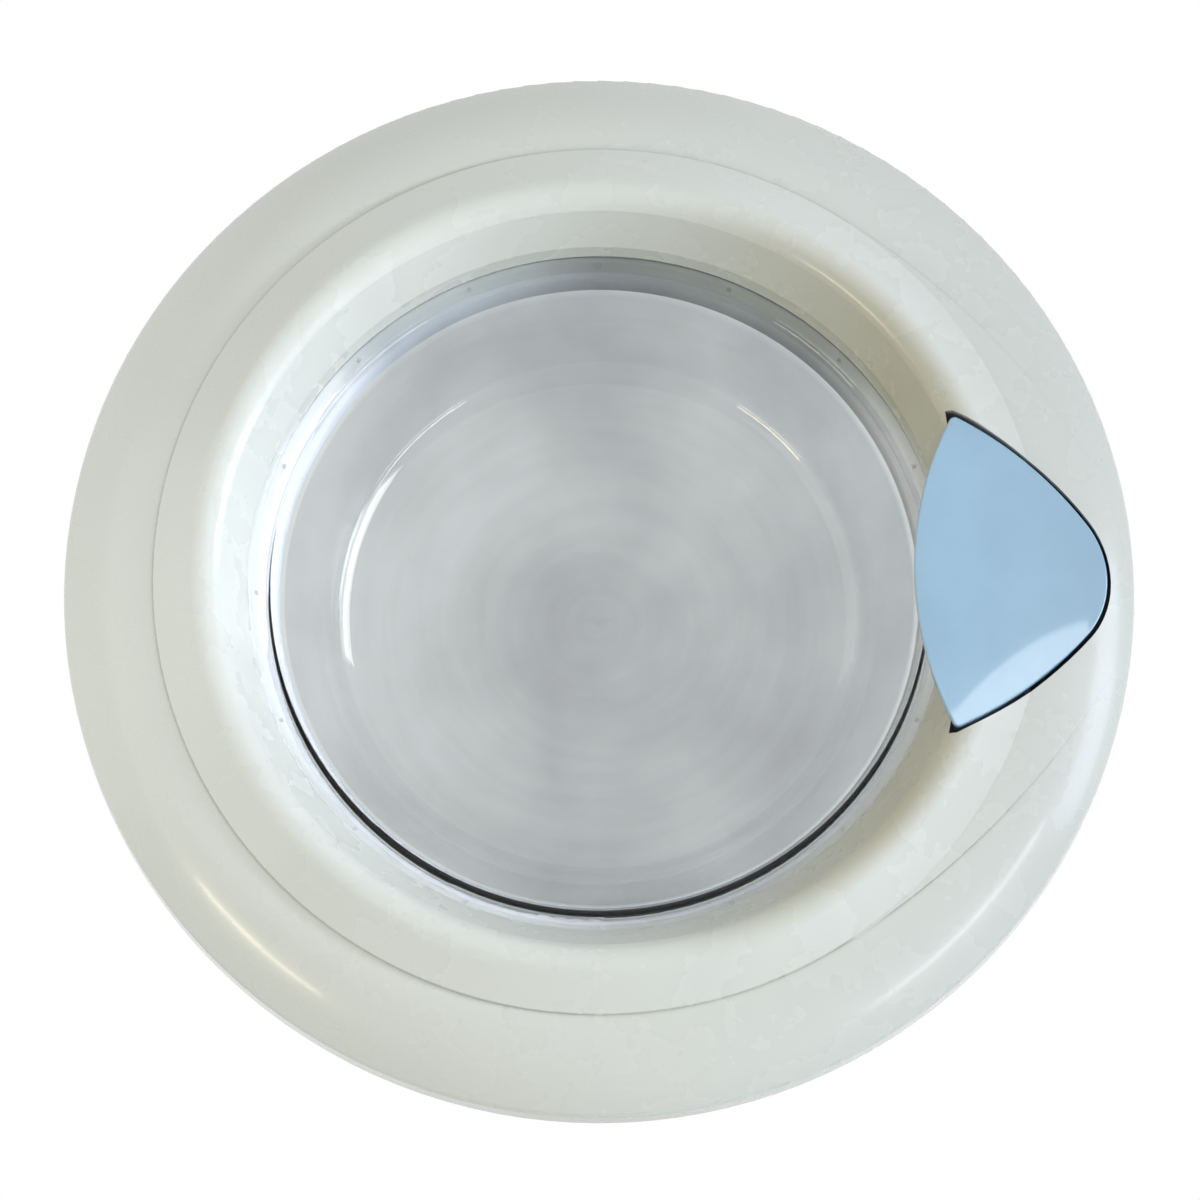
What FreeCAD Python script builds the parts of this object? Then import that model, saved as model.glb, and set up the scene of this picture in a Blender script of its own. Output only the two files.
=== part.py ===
import FreeCAD, Part
import math
import os
import Sketcher
from FreeCAD import Placement, Rotation, Vector

# A washing machine door: a moulded front ring and rear ring that clamp a glass bowl,
# a pull handle that releases a latch hook, and a gooseneck hinge at the left.
# Every piece but those on pins is drawn about the middle of the round door. "Front" is the
# distance ahead of the plane of the rim's rounded edge, towards the user, which is minus Y.

# Driving dimensions in millimetres and degrees.
SIZES = {
    # Front ring
    "rim_radius": 230.0,
    "rim_depth": 12.0,
    "rim_round": 5.0,
    "rim_front": 2.0,
    "shell_wall": 2.8,
    "shoulder_width": 39.5,
    "shoulder_bend": 60.0,
    "step_front": 24.5,
    "step_rise": 1.8,
    "step_draft": 0.3,
    "plateau_width": 20.0,
    "plateau_slope": 30.0,
    "crest_rise": 10.5,
    "crest_round": 11.0,
    "funnel_width": 21.0,
    "funnel_slope": 56.0,
    "lip_lean": 1.6,
    "lip_front": 10.4,
    "lip_end": 2.0,
    # Raised eye-shaped plateau that swings out to the rim on the handle's side
    "eye_angle": 58.0,
    "eye_exit": 5.3049,
    "eye_fade": 1.6,
    "eye_overrun": 8.0,
    # Rear ring
    "rear_wall": 2.5,
    "rear_skirt": 6.0,
    "collar_margin": 5.0,
    "collar_rise": 8.0,
    "collar_draft": 1.6,
    "bore_ledge": 4.4,
    "seat_wall": 2.8,
    "rib_wall": 1.6,
    "rib_count": 16,
    # Glass bowl
    "glass_wall": 5.0,
    "neck_margin": 0.5,
    "flange_width": 8.0,
    "neck_round": 12.0,
    "wall_lean": 60.0,
    "corner_round": 18.0,
    "bowl_depth": 56.0,
    "dome_bend": 1050.0,
    # Seal round the neck of the glass
    "seal_top": 7.6,
    "seal_height": 6.9,
    # Handle
    "handle_overhang": 15.5,
    "handle_bow": 17.0,
    "handle_half_height": 69.0,
    "handle_tip_margin": 12.6,
    "handle_tip_round": 38.0,
    "handle_tip_angle": 40.0,
    "handle_corner_trim": 3.0,
    "handle_stand": 2.0,
    "handle_bend": 180.0,
    "handle_wall": 3.0,
    "handle_edge": 0.9,
    "handle_gap": 1.8,
    "handle_pivot_reach": 24.6,
    "handle_pivot_front": 15.0,
    "handle_pin_radius": 1.5,
    "handle_ear_wall": 1.8,
    "handle_lug_inner": 15.6,
    "handle_lug_wall": 4.0,
    "cheek_play": 1.2,
    "cheek_wall": 2.8,
    "bar_radius": 1.5,
    "bar_run": 9.0,
    "bar_drop": 4.0,
    # Opening in the front ring and the housing behind it
    "opening_margin": 3.0,
    "opening_ledge": 5.0,
    "housing_wall": 2.0,
    "finger_floor": 9.0,
    "bay_floor": 4.0,
    "divider_margin": 1.5,
    "divider_height": 11.0,
    "ear_wall": 4.0,
    "tab_offset": 1.5,
    "tab_stand": 6.7026,
    "housing_tab_radius": 7.5,
    # Latch
    "hook_run": 15.0,
    "hook_pin_radius": 2.0,
    "hook_boss_wall": 3.5,
    "hook_half_wall": 4.0,
    "hook_shank": 7.0,
    "hook_reach": 38.0,
    "hook_nose": 12.5,
    "hook_nose_wall": 7.0,
    "nose_chamfer": 2.0,
    "tail_wall": 4.6,
    "tail_finger": 4.0,
    "tail_tip": 3.6,
    "bar_play": 0.4,
    "bar_side_play": 1.8,
    "latch_wall": 2.0,
    "latch_coil_room": 5.0,
    "latch_lug_wall": 3.0,
    "latch_half_height": 22.0,
    "latch_plate_left": 16.4,
    "latch_plate_right": 20.0,
    "latch_slot_left": 14.4,
    "latch_slot_right": 11.0,
    "latch_slot_play": 2.6,
    "latch_screw_offset": 2.4,
    "latch_screw_spread": 14.0,
    "latch_screw_z": 16.5,
    # Hinge
    "hinge_inset": 21.0,
    "hinge_front": 3.0,
    "hinge_pin_radius": 3.0,
    "hinge_eye_wall": 1.95,
    "arm_angle": 18.0,
    "arm_run": 27.0,
    "arm_width": 5.0,
    "arm_inner": 24.0,
    "arm_wall": 6.0,
    "panel_gap": 12.0,
    "plate_wall": 3.0,
    "plate_side_margin": 7.0,
    "plate_end_margin": 10.0,
    "plate_round": 8.0,
    "bolt_spacing_x": 20.0,
    "bolt_spacing_z": 84.0,
    "bolt_hole_radius": 2.75,
    "bush_wall": 1.5,
    "bush_flange": 1.1,
    "carrier_wall": 3.0,
    "carrier_eye_wall": 2.5,
    "carrier_near": 6.0,
    "carrier_far": 43.0,
    "carrier_lug_run": 19.0,
    "carrier_screw_run": 26.0,
    "carrier_screw_spread": 20.0,
    "carrier_screw_z": 12.0,
    "hinge_slot_run": 38.0,
    "pin_head_reach": 2.0,
    "pin_head_height": 2.4,
    "pin_groove": 0.5,
    "clip_wall": 0.8,
    "clip_reach": 2.2,
    # Screws and bosses
    "frame_screw_inset": 30.0,
    "frame_screw_angle": 22.5,
    "frame_screw_count": 8,
    "boss_radius": 4.0,
    "screw_radius": 1.6,
    "screw_head_radius": 3.8,
    "screw_head_height": 2.3,
    "screw_hole_clearance": 0.5,
    "pilot_clearance": 0.1,
    "frame_screw_length": 14.0,
    "short_screw_length": 6.0,
    "housing_screw_length": 10.0,
    # Springs
    "spring_wire": 0.5,
    "spring_pitch": 1.05,
    "handle_coil_play": 0.6,
    "handle_coil_turns": 4.17,
    "handle_coil_start": -62.0,
    "handle_spring_leg": 8.0,
    "hook_coil_play": 0.5,
    "hook_coil_turns": 2.5,
    "hook_coil_start": 180.0,
    "hook_spring_leg": 6.2,
    # Clearances
    "moving_gap": 0.3,
    "fit_gap": 0.05,
    "seat_gap": 0.1,
}


class Size:
    """A number that remembers the formula, in the sheet's names, that it comes from."""

    def __init__(self, number, formula):
        self.number = float(number)
        self.formula = formula

    def __add__(self, other):
        return combine(self, other, "+", lambda a, b: a + b)

    def __sub__(self, other):
        return combine(self, other, "-", lambda a, b: a - b)

    def __mul__(self, other):
        return combine(self, other, "*", lambda a, b: a * b)

    def __truediv__(self, other):
        return combine(self, other, "/", lambda a, b: a / b)

    def __radd__(self, other):
        return as_size(other) + self

    def __rsub__(self, other):
        return as_size(other) - self

    def __rmul__(self, other):
        return as_size(other) * self

    def __neg__(self):
        return Size(-self.number, f"(0 - {self.formula})")


def as_size(value):
    if isinstance(value, Size):
        return value
    return Size(value, f"({value})")


def combine(left, right, sign, work):
    left = as_size(left)
    right = as_size(right)
    number = work(left.number, right.number)
    return Size(number, f"({left.formula} {sign} {right.formula})")


def root(value):
    return Size(math.sqrt(value.number), f"sqrt({value.formula})")


def sine(angle):
    return Size(math.sin(math.radians(angle.number)), f"sin({angle.formula})")


def cosine(angle):
    return Size(math.cos(math.radians(angle.number)), f"cos({angle.formula})")


class Names:
    """Gives each size as an attribute, whether it is set or follows from others."""

    def __getattr__(self, alias):
        number = SIZES[alias] if alias in SIZES else RULES[alias]().number
        return Size(number, f"Sizes.{alias}")


size = Names()
document = FreeCAD.newDocument("door")


def eye_arc():
    """Radius of the arc that leaves the step's circle smoothly and crosses the rim's."""
    rim = size.rim_radius
    step = size.step_radius
    along = rim * cosine(size.eye_angle - size.eye_exit)
    return (rim * rim + step * step - 2 * step * along) / (2 * (step - along))


def tab_height():
    """The housing's screw tab stands just outside the housing's wall."""
    return flank_height(size.housing_tab_x, size.handle_gap + housing_margin()) + size.tab_stand


# Sizes that follow from others. Radii go inwards from the rim, so that a wider ring keeps its
# section, and the latch and the hinge keep their place in it.
RULES = {
    "step_radius": lambda: size.rim_radius - size.shoulder_width,
    "crest_radius": lambda: size.step_radius - size.plateau_width,
    "lip_radius": lambda: size.crest_radius - size.funnel_width,
    "crest_front": lambda: size.step_front + size.crest_rise,
    "eye_bend": eye_arc,
    "neck_radius": lambda: size.lip_radius + size.neck_margin,
    "flange_radius": lambda: size.neck_radius + size.flange_width,
    "bore_radius": lambda: size.neck_radius - size.bore_ledge,
    "collar_radius": lambda: size.flange_radius + size.collar_margin,
    "collar_depth": lambda: size.rim_depth + size.collar_rise,
    "seal_bottom": lambda: size.seal_top + size.seal_height,
    "handle_left": lambda: size.lip_radius - size.handle_overhang,
    "handle_corner_x": lambda: size.handle_left + size.handle_bow,
    "handle_tip_centre": lambda: size.rim_radius - size.handle_tip_margin - size.handle_tip_round,
    "handle_front": lambda: size.crest_front + size.handle_stand,
    "handle_pivot_x": lambda: size.handle_tip_centre + size.handle_pivot_reach,
    "handle_ear_radius": lambda: size.handle_pin_radius + size.handle_ear_wall,
    "cheek_inner": lambda: size.hook_half_wall + size.cheek_play,
    "bar_x": lambda: size.handle_pivot_x - size.bar_run,
    "bar_front": lambda: size.handle_pivot_front - size.bar_drop,
    "opening_corner_x": lambda: size.handle_corner_x - size.opening_margin,
    "opening_left": lambda: size.lip_radius + size.opening_ledge,
    "hook_pivot_x": lambda: size.bar_x - size.hook_run,
    "hook_boss_radius": lambda: size.hook_pin_radius + size.hook_boss_wall,
    "divider_x": lambda: size.hook_pivot_x + size.divider_margin,
    "divider_top": lambda: size.finger_floor + size.divider_height,
    "housing_tab_x": lambda: size.divider_x + size.tab_offset,
    "housing_tab_z": tab_height,
    "latch_lug_inner": lambda: size.hook_half_wall + size.latch_coil_room,
    "latch_lug_radius": lambda: size.hook_pin_radius + size.latch_lug_wall,
    "latch_slot_half": lambda: size.hook_half_wall + size.latch_slot_play,
    "handle_coil_radius": lambda: size.handle_pin_radius + size.spring_wire + size.handle_coil_play,
    "hook_coil_radius": lambda: size.hook_pin_radius + size.spring_wire + size.hook_coil_play,
    "hinge_x": lambda: size.rim_radius - size.hinge_inset,
    "hinge_eye_radius": lambda: (size.hinge_pin_radius + size.fit_gap + size.bush_wall
                                 + size.hinge_eye_wall),
    "panel_depth": lambda: size.rim_depth + size.panel_gap,
    "plate_width": lambda: size.bolt_spacing_x + 2 * size.plate_side_margin,
    "plate_height": lambda: size.bolt_spacing_z + 2 * size.plate_end_margin,
    "carrier_eye_radius": lambda: size.hinge_pin_radius + size.carrier_eye_wall,
    "pin_head_radius": lambda: size.hinge_pin_radius + size.pin_head_reach,
    "clip_radius": lambda: size.hinge_pin_radius + size.clip_reach,
    "frame_screw_circle": lambda: size.rim_radius - size.frame_screw_inset,
}


def make_sheet():
    sheet = document.addObject("Spreadsheet::Sheet", "Sizes")
    cells = {alias: str(value) for alias, value in SIZES.items()}
    for alias, rule in RULES.items():
        cells[alias] = "=" + rule().formula.replace("Sizes.", "")
    for row, (alias, content) in enumerate(cells.items(), start=1):
        sheet.set(f"A{row}", alias)
        sheet.set(f"B{row}", content)
        sheet.setAlias(f"B{row}", alias)
    document.recompute()


# Helpers for sketches and features

def bind(thing, path, value):
    thing.setExpression(path, as_size(value).formula)


def new_body(name):
    return document.addObject("PartDesign::Body", name)


def origin_feature(body, role):
    return next(item for item in body.Origin.OriginFeatures if item.Role == role)


def sketch_on(body, name, role, turn, offset):
    sketch = body.newObject("Sketcher::SketchObject", name)
    sketch.AttachmentSupport = (origin_feature(body, role), [""])
    sketch.MapMode = "FlatFace"
    sketch.AttachmentOffset = Placement(Vector(0, 0, as_size(offset).number), turn)
    if isinstance(offset, Size):
        bind(sketch, "AttachmentOffset.Base.z", offset)
    return sketch


def front_sketch(body, name, front=0):
    """A sketch seen from the front, X across and Z up, a given distance ahead."""
    return sketch_on(body, name, "XZ_Plane", Rotation(), front)


def plan_sketch(body, name, height=0):
    """A sketch in plan, X across and the front upwards. Its pads go down from its height."""
    return sketch_on(body, name, "XY_Plane", Rotation(Vector(1, 0, 0), 180), height)


def pin_point(sketch, geometry, end, across, up):
    """Holds one end of a line or arc, or a centre, at its two coordinates."""
    for value, kind, axis in ((across, "DistanceX", -2), (up, "DistanceY", -1)):
        if isinstance(value, Size):
            rule = Sketcher.Constraint(kind, -1, 1, geometry, end, value.number)
            number = sketch.addConstraint(rule)
            bind(sketch, f"Constraints[{number}]", value)
        elif value == 0:
            sketch.addConstraint(Sketcher.Constraint("PointOnObject", geometry, end, axis))
        else:
            sketch.addConstraint(Sketcher.Constraint(kind, -1, 1, geometry, end, value))


def pin_radius(sketch, geometry, radius):
    radius = as_size(radius)
    number = sketch.addConstraint(Sketcher.Constraint("Radius", geometry, radius.number))
    bind(sketch, f"Constraints[{number}]", radius)


def short_arc(start, end, bend):
    """The shorter arc between two points. It turns left where the bend is positive."""
    chord = end - start
    side = math.copysign(1.0, bend)
    normal = Vector(-chord.y, chord.x, 0).normalize()
    rise = math.sqrt(max(bend * bend - chord.Length ** 2 / 4, 0.0))
    centre = (start + end) * 0.5 + normal * (rise * side)
    first, last = (start, end) if side > 0 else (end, start)
    circle = Part.Circle(centre, Vector(0, 0, 1), abs(bend))
    begin = math.atan2(first.y - centre.y, first.x - centre.x)
    finish = math.atan2(last.y - centre.y, last.x - centre.x)
    return Part.ArcOfCircle(circle, begin, finish)


def draw_loop(sketch, corners):
    """A closed loop of (across, up) corners. A third value bends the side to the next one."""
    spots = [Vector(as_size(c[0]).number, as_size(c[1]).number, 0) for c in corners]
    ends = []
    for index, corner in enumerate(corners):
        start = spots[index]
        end = spots[(index + 1) % len(spots)]
        if len(corner) == 2:
            geometry = sketch.addGeometry(Part.LineSegment(start, end), False)
            ends.append((geometry, 1, 2))
        else:
            bend = as_size(corner[2]).number
            geometry = sketch.addGeometry(short_arc(start, end, bend), False)
            ends.append((geometry, 1, 2) if bend > 0 else (geometry, 2, 1))
    for index, (geometry, begin, finish) in enumerate(ends):
        following, entry = ends[(index + 1) % len(ends)][:2]
        joint = Sketcher.Constraint("Coincident", geometry, finish, following, entry)
        sketch.addConstraint(joint)
    for corner, (geometry, begin, finish) in zip(corners, ends):
        pin_point(sketch, geometry, begin, corner[0], corner[1])
        if len(corner) == 3:
            bend = as_size(corner[2])
            pin_radius(sketch, geometry, bend if bend.number > 0 else -bend)


def draw_circle(sketch, across, up, radius):
    centre = Vector(as_size(across).number, as_size(up).number, 0)
    circle = Part.Circle(centre, Vector(0, 0, 1), as_size(radius).number)
    geometry = sketch.addGeometry(circle, False)
    pin_point(sketch, geometry, 3, across, up)
    pin_radius(sketch, geometry, radius)


def box_corners(left, right, low, high):
    return [(left, low), (right, low), (right, high), (left, high)]


def revolve(body, sketch, kind="Revolution", spread=360):
    """Turns a section about its sketch's own upright axis, as material or as a cut."""
    feature = body.newObject(f"PartDesign::{kind}", f"{sketch.Name}_{kind.lower()}")
    feature.Profile = sketch
    feature.ReferenceAxis = (sketch, ["V_Axis"])
    feature.Angle = as_size(spread).number
    if isinstance(spread, Size):
        feature.Midplane = True
        bind(feature, "Angle", spread)
    body.Tip = feature
    return feature


def extrude(body, sketch, length, kind="Pad", both_ways=False, flip=False):
    """Pads or pockets a sketch. Both ways means half the length to each side."""
    feature = body.newObject(f"PartDesign::{kind}", f"{sketch.Name}_{kind.lower()}")
    feature.Profile = sketch
    feature.SideType = "Symmetric" if both_ways else "One side"
    feature.Reversed = flip
    feature.Length = as_size(length).number
    bind(feature, "Length", length)
    body.Tip = feature
    return feature


def twin(body, features):
    """Repeats features below the middle of the door."""
    feature = body.newObject("PartDesign::Mirrored", f"{features[0].Name}_twin")
    feature.Originals = features
    feature.MirrorPlane = (origin_feature(body, "XY_Plane"), [""])
    body.Tip = feature
    return feature


def ring_of(body, features, count):
    """Repeats features round the door's axis."""
    feature = body.newObject("PartDesign::PolarPattern", f"{features[0].Name}_ring")
    feature.Originals = features
    feature.Axis = (origin_feature(body, "Y_Axis"), [""])
    feature.Angle = 360
    feature.Occurrences = int(count.number)
    bind(feature, "Occurrences", count)
    body.Tip = feature
    return feature


def door_offset():
    """The middle of the door, measured from the middle of the hinge plate's rear face."""
    across = size.hinge_x - size.arm_run * cosine(size.arm_angle)
    return across, -size.panel_depth


def place(thing, across=0, front=0, height=0):
    """Moves a piece from its own origin to its place in the part's frame."""
    door_x, door_y = door_offset()
    bind(thing, "Placement.Base.x", door_x + across)
    bind(thing, "Placement.Base.y", door_y - as_size(front))
    bind(thing, "Placement.Base.z", height)


# Shapes that several pieces share

def shoulder_centre():
    """Centre of the shoulder's arc, from the rim's edge plane to the foot of the step."""
    across = (size.rim_radius + size.step_radius) / 2
    up = (size.rim_front + size.step_front) / 2
    run = (size.rim_radius - size.step_radius) / 2
    rise = (size.step_front - size.rim_front) / 2
    half = root(run * run + rise * rise)
    back = root(size.shoulder_bend * size.shoulder_bend - half * half)
    return across - back * rise / half, up - back * run / half


def shoulder_front(radius, inward=0):
    """How far ahead the shoulder lies at a radius, or its inner face."""
    across, up = shoulder_centre()
    bend = size.shoulder_bend - inward
    run = radius - across
    return up + root(bend * bend - run * run)


def rim_edge(inward=0):
    """Both ends of the rounding between the side wall and the shoulder."""
    across, up = shoulder_centre()
    centre_x = size.rim_radius - size.rim_round
    reach = size.shoulder_bend - size.rim_round
    run = centre_x - across
    centre_up = up + root(reach * reach - run * run)
    bend = size.rim_round - inward
    low = (centre_x + bend, centre_up, bend)
    scale = bend / reach
    high = (centre_x + run * scale, centre_up + (centre_up - up) * scale)
    return low, high


def crest_ends(inward=0):
    """Where the crest's rounding meets the plateau and the funnel."""
    bend = size.crest_round - inward
    centre_up = size.crest_front - size.crest_round
    outer = (size.crest_radius + bend * sine(size.plateau_slope),
             centre_up + bend * cosine(size.plateau_slope))
    inner = (size.crest_radius - bend * sine(size.funnel_slope),
             centre_up + bend * cosine(size.funnel_slope))
    return outer, inner, bend


def inner_profile(gap=0):
    """The ring's inner face from the rim to the lip, moved inwards by a gap."""
    skin = size.shell_wall + gap
    low, high = rim_edge(skin)
    outer, inner, bend = crest_ends(skin)
    under_step = size.step_radius - size.step_rise
    return {
        "rim": low,
        "shoulder": high + (size.shoulder_bend - skin,),
        "step": (under_step, shoulder_front(under_step, skin)),
        "plateau": (under_step, size.step_front + size.step_rise - skin),
        "crest": outer + (bend,),
        "funnel": inner,
        "lip": (size.lip_radius + size.lip_lean + skin, size.lip_front - size.step_draft),
        "end": (size.lip_radius + size.shell_wall - size.step_draft + gap, size.lip_end),
    }


def flank():
    """Centre and radius of the handle's upper flank, tangent to the tip, through the corner."""
    ahead = cosine(size.handle_tip_angle)
    aside = sine(size.handle_tip_angle)
    run = size.handle_corner_x - size.handle_tip_centre
    rise = size.handle_half_height
    tip = size.handle_tip_round
    along = run * ahead + rise * aside
    bend = (run * run + rise * rise - 2 * tip * along + tip * tip) / (2 * (tip - along))
    back = tip - bend
    return size.handle_tip_centre + back * ahead, back * aside, bend


def flank_x(height, gap):
    """Where the flank, moved outwards by a gap, reaches a height."""
    centre_x, centre_z, bend = flank()
    reach = bend + gap
    rise = height - centre_z
    return centre_x + root(reach * reach - rise * rise)


def flank_height(across, gap):
    """How high the flank, moved outwards by a gap, lies at a place across."""
    centre_x, centre_z, bend = flank()
    reach = bend + gap
    run = across - centre_x
    return centre_z + root(reach * reach - run * run)


def handle_right_side(gap, top):
    """The two flanks and the tip, from the lower left round to the upper left."""
    bend = flank()[2] + gap
    tip = size.handle_tip_round + gap
    tangent_x = size.handle_tip_centre + tip * cosine(size.handle_tip_angle)
    tangent_z = tip * sine(size.handle_tip_angle)
    end_x = flank_x(top, gap)
    return [
        (end_x, -top, bend),
        (tangent_x, -tangent_z, tip),
        (tangent_x, tangent_z, bend),
        (end_x, top),
    ]


def opening_outline(gap):
    """The opening under the handle, moved outwards by a gap, with its bowed left side."""
    top = size.handle_half_height + size.handle_gap + gap
    corner_x = size.opening_corner_x - gap
    middle_x = size.opening_left - gap
    bow = corner_x - middle_x
    bend = (bow * bow + top * top) / (2 * bow)
    right = handle_right_side(size.handle_gap + gap, top)
    return right + [(corner_x, top, bend), (corner_x, -top)]


def skin_centre():
    """Centre of the arc of the handle's front face in plan."""
    return size.handle_left, size.handle_front - size.handle_bend


def skin_front(across, depth=0):
    """How far ahead the handle's skin lies, or a surface a depth below it."""
    centre_x, centre_up = skin_centre()
    bend = size.handle_bend - depth
    run = across - centre_x
    return centre_up + root(bend * bend - run * run)


def screw_circle_place():
    return (size.frame_screw_circle * cosine(size.frame_screw_angle),
            size.frame_screw_circle * sine(size.frame_screw_angle))


def rear_inner_front():
    """The rear frame's inner face, on which the brackets and bosses sit."""
    return size.rear_wall - size.rim_depth


# Front ring

def ring_section(sketch):
    low, high = rim_edge()
    outer, inner, bend = crest_ends()
    back = inner_profile()
    step = size.step_radius
    top = size.step_front + size.step_rise
    draw_loop(sketch, [
        (size.rim_radius, -size.rim_depth),
        low,
        high + (size.shoulder_bend,),
        (step, size.step_front),
        (step - size.step_draft, top),
        outer + (bend,),
        inner,
        (size.lip_radius + size.lip_lean, size.lip_front),
        (size.lip_radius, size.lip_end),
        back["end"],
        back["lip"],
        back["funnel"] + (-back["crest"][2],),
        back["crest"][:2],
        back["plateau"],
        back["step"] + (-back["shoulder"][2],),
        back["shoulder"][:2] + (-back["rim"][2],),
        back["rim"][:2],
        (size.rim_radius - size.shell_wall, -size.rim_depth),
    ])


def make_front_shell():
    body = new_body("front_shell")
    section = plan_sketch(body, "ring_section")
    ring_section(section)
    revolve(body, section)
    return body


def add_bosses(body):
    """Eight screw bosses that reach back to the rear frame, each with its pilot hole."""
    across, height = screw_circle_place()
    foot = rear_inner_front()
    outermost = size.frame_screw_circle + size.boss_radius
    top = shoulder_front(outermost) - size.moving_gap
    post_sketch = front_sketch(body, "boss", foot)
    draw_circle(post_sketch, across, height, size.boss_radius)
    post = extrude(body, post_sketch, top - foot)
    hole_sketch = front_sketch(body, "boss_pilot", foot)
    draw_circle(hole_sketch, across, height, size.screw_radius + size.pilot_clearance)
    hole = extrude(body, hole_sketch, size.frame_screw_length, "Pocket", flip=True)
    ring_of(body, [post, hole], size.frame_screw_count)


def housing_tab_face():
    """Front face of the housing's screw tabs, on which the ring's two short bosses stand."""
    return size.finger_floor


def add_housing_bosses(body):
    """Two bosses that hold the handle housing's tabs."""
    foot = housing_tab_face()
    across = size.housing_tab_x
    height = size.housing_tab_z
    reach = root(across * across + height * height) + size.boss_radius
    top = shoulder_front(reach) - size.moving_gap
    post_sketch = front_sketch(body, "tab_boss", foot)
    draw_circle(post_sketch, across, height, size.boss_radius)
    post = extrude(body, post_sketch, top - foot)
    hole_sketch = front_sketch(body, "tab_boss_pilot", foot)
    draw_circle(hole_sketch, across, height, size.screw_radius + size.pilot_clearance)
    hole = extrude(body, hole_sketch, size.housing_screw_length, "Pocket", flip=True)
    twin(body, [post, hole])


def eye_spread():
    return size.eye_angle + size.eye_overrun


def make_raised_layer():
    """The crescent that carries the plateau's level out to the rim near the handle."""
    body = new_body("raised_layer")
    section = plan_sketch(body, "layer_section")
    high = rim_edge()[1]
    inside = size.step_radius - 1.5 * size.step_rise
    under = inside, shoulder_front(inside) - size.step_rise / 2
    deep = high[0] - size.eye_fade, high[1] - size.eye_fade
    top = (inside, size.step_front + size.step_rise)
    bend = size.shoulder_bend + size.step_rise
    draw_loop(section, [
        under + (-(size.shoulder_bend - size.step_rise / 2),),
        deep,
        high + (bend,),
        top,
    ])
    revolve(body, section, spread=2 * eye_spread())
    outline = front_sketch(body, "eye_outline")
    draw_outside_of_eye(outline)
    extrude(body, outline, 4 * size.step_front, "Pocket", both_ways=True)
    return body


def draw_outside_of_eye(sketch):
    """Everything beyond the eye outline: two wide arcs tangent to the step's circle."""
    ahead = cosine(size.eye_angle)
    aside = sine(size.eye_angle)
    start = size.step_radius
    back = start - size.eye_bend
    centre_x = back * ahead
    centre_z = back * aside
    far = size.rim_radius + 2 * size.rim_round
    reach = size.eye_bend
    meet_z = root(reach * reach - (far - centre_x) * (far - centre_x)) + centre_z
    end_x = start * cosine(eye_spread())
    end_z = start * sine(eye_spread())
    for sign in (1, -1):
        bend = reach * sign
        corners = [
            (far, sign * meet_z, bend),
            (start * ahead, sign * start * aside),
            (end_x, sign * end_z),
            (end_x, sign * far),
            (far, sign * far),
        ]
        draw_loop(sketch, corners)


def make_opening_cutter():
    body = new_body("opening_cutter")
    outline = front_sketch(body, "opening_outline")
    draw_loop(outline, opening_outline(0))
    extrude(body, outline, 2 * size.crest_front)
    return body


def make_front_frame():
    shell = make_front_shell()
    add_bosses(shell)
    add_housing_bosses(shell)
    layer = make_raised_layer()
    cutter = make_opening_cutter()
    joined = document.addObject("Part::Fuse", "ring_with_layer")
    joined.Base = shell
    joined.Tool = layer
    joined.Refine = True
    frame = document.addObject("Part::Cut", "front_frame")
    frame.Base = joined
    frame.Tool = cutter
    place(frame)
    return frame


# Rear ring

def rear_section(sketch):
    skirt = size.rim_radius - size.shell_wall - size.moving_gap
    inner = rear_inner_front()
    pocket = size.flange_radius + size.moving_gap
    pocket_wall = pocket + size.rear_wall + size.step_draft
    back = -size.rim_depth
    seat = glass_back_front() - size.seat_gap
    seat_back = seat - size.seat_wall
    tail = -size.collar_depth
    draw_loop(sketch, [
        (skirt, -size.rear_skirt),
        (skirt, back),
        (size.collar_radius, back),
        (size.collar_radius - size.collar_draft, tail),
        (size.collar_radius - size.collar_draft - size.rear_wall, tail),
        (size.collar_radius - size.rear_wall, seat_back),
        (size.bore_radius + size.rear_wall + size.step_draft, seat_back),
        (size.bore_radius + size.rear_wall, tail),
        (size.bore_radius, tail),
        (size.bore_radius, -size.seal_top),
        (size.neck_radius, seat),
        (pocket, seat),
        (pocket, size.lip_end - size.step_draft),
        (pocket_wall, size.lip_end - size.step_draft),
        (pocket_wall, inner),
        (skirt - size.rear_wall, inner),
        (skirt - size.rear_wall, -size.rear_skirt),
    ])


def glass_front():
    """Front face of the glass flange, just behind the end of the ring's lip."""
    return size.lip_end - size.seat_gap


def glass_back_front():
    return glass_front() - size.glass_wall


def make_rear_frame():
    body = new_body("rear_frame")
    section = plan_sketch(body, "rear_section")
    rear_section(section)
    revolve(body, section)
    add_collar_ribs(body)
    add_rear_holes(body)
    add_hinge_slots(body)
    add_latch_slot(body)
    place(body)
    return body


def add_collar_ribs(body):
    """Radial ribs in the channel behind the glass seat."""
    seat_back = glass_back_front() - size.seat_gap - size.seat_wall
    overlap = size.rear_wall / 2
    start = size.bore_radius + size.rear_wall - overlap
    end = size.collar_radius - size.collar_draft - size.rear_wall + overlap
    sketch = front_sketch(body, "collar_rib", size.rib_wall - size.collar_depth)
    half = size.rib_wall / 2
    draw_loop(sketch, box_corners(start, end, -half, half))
    length = seat_back + size.collar_depth - size.rib_wall + overlap
    rib = extrude(body, sketch, length)
    ring_of(body, [rib], size.rib_count)


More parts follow.
